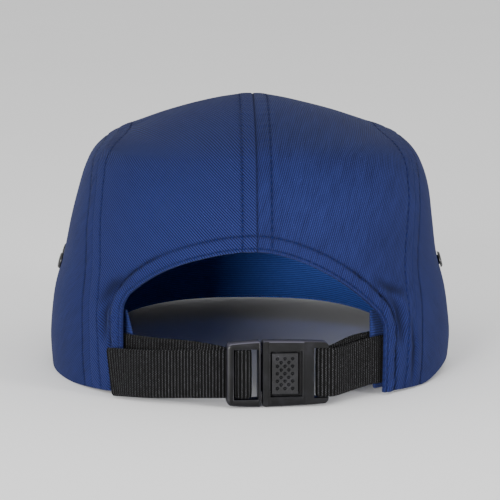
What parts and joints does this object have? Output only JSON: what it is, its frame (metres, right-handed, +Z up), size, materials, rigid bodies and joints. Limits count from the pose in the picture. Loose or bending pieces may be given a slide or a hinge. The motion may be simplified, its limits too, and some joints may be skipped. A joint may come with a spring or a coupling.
{
  "type": "five panel cap",
  "caption": "Soft crown cap with a stitched flat peak, vented side panels, an arched back opening and a webbing strap closed by a centre-release buckle.",
  "frame": {"origin": "centre of the footprint, at the surface the rim rests on", "axes": "+Z up, +Y from the peak towards the back opening, +X to the wearer's left"},
  "size_m": [0.176, 0.2796, 0.118],
  "materials": {
    "cloth": "blue cotton twill",
    "band": "ribbed blue cotton tape",
    "webbing": "black ribbed webbing",
    "buckle": "black satin plastic",
    "button": "dark grey dimpled plastic",
    "eyelet": "black enamelled metal"
  },
  "bodies": {
    "root": {"front_panel": "cloth", "left_back_panel": "cloth", "right_back_panel": "cloth", "left_side_panel": "cloth", "right_side_panel": "cloth", "eyelet_left_back": "eyelet", "eyelet_left_front": "eyelet", "eyelet_right_back": "eyelet", "eyelet_right_front": "eyelet", "sweatband": "band", "peak": "cloth", "buckle_adjuster": "buckle", "buckle_body": "buckle", "release_button": "button", "strap_left": "webbing", "strap_right": "webbing"}
  },
  "joints": []
}
